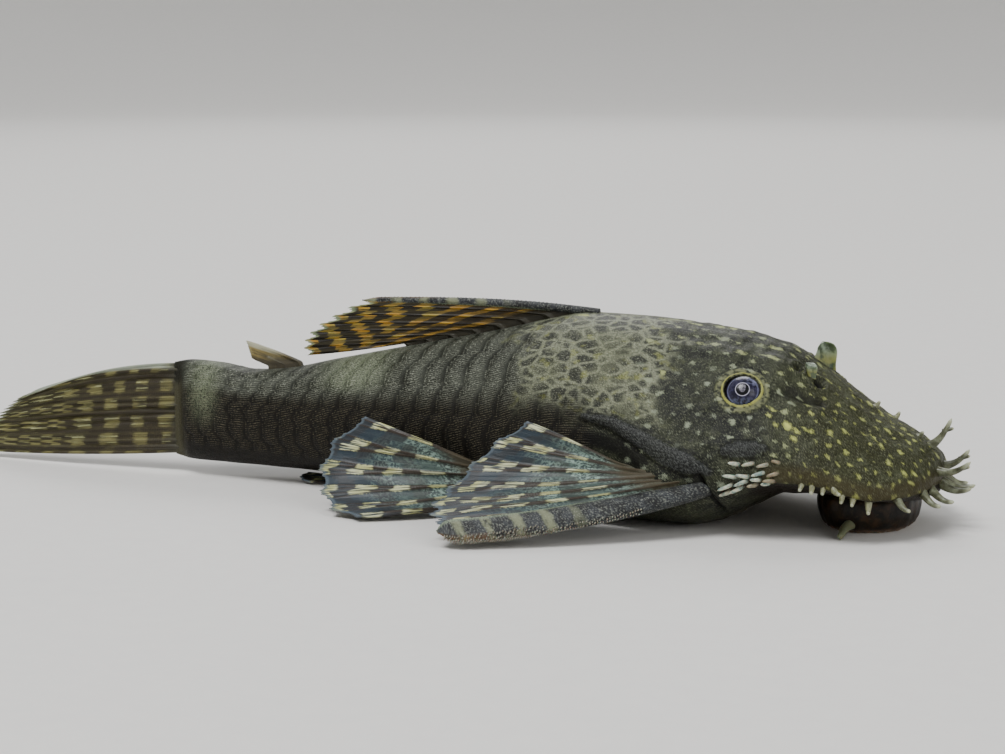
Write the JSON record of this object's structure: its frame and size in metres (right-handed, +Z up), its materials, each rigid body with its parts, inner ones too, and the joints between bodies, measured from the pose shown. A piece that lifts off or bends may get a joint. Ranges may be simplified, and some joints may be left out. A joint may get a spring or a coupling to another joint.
{
  "type": "bristlenose pleco",
  "caption": "Armoured sucker-mouthed catfish lying on its belly, a still life-size display model with branched snout tentacles and spread paired fins.",
  "frame": {"origin": "under the middle of the model's box, on the ground", "axes": "+X to the snout, +Y to the fish's left, +Z up"},
  "size_m": [0.135, 0.0642, 0.0236],
  "materials": {
    "head": "armoured skin, olive brown with pale spots",
    "trunk": "overlapping armour plates, grey brown",
    "tail": "overlapping armour plates, grey brown",
    "mouth_disc": "soft papillose lips, dark brown",
    "eye_right": "wet eyeball, dark blue violet iris",
    "eye_left": "wet eyeball, dark blue violet iris",
    "dorsal_fin": "amber fin with dark bars",
    "adipose_fin": "olive fin behind a pale spine",
    "anal_fin": "olive fin",
    "caudal_fin": "yellow olive fin with dark bars",
    "pectoral_fin_right": "grey fin with banded rays",
    "pectoral_fin_left": "grey fin with banded rays",
    "pelvic_fin_right": "grey fin with banded rays",
    "pelvic_fin_left": "grey fin with banded rays"
  },
  "bodies": {
    "root": {"head": "head", "trunk": "trunk", "tail": "tail", "mouth_disc": "mouth_disc", "eye_right": "eye_right", "eye_left": "eye_left", "dorsal_fin": "dorsal_fin", "adipose_fin": "adipose_fin", "anal_fin": "anal_fin", "caudal_fin": "caudal_fin", "pectoral_fin_right": "pectoral_fin_right", "pectoral_fin_left": "pectoral_fin_left", "pelvic_fin_right": "pelvic_fin_right", "pelvic_fin_left": "pelvic_fin_left"}
  },
  "joints": []
}
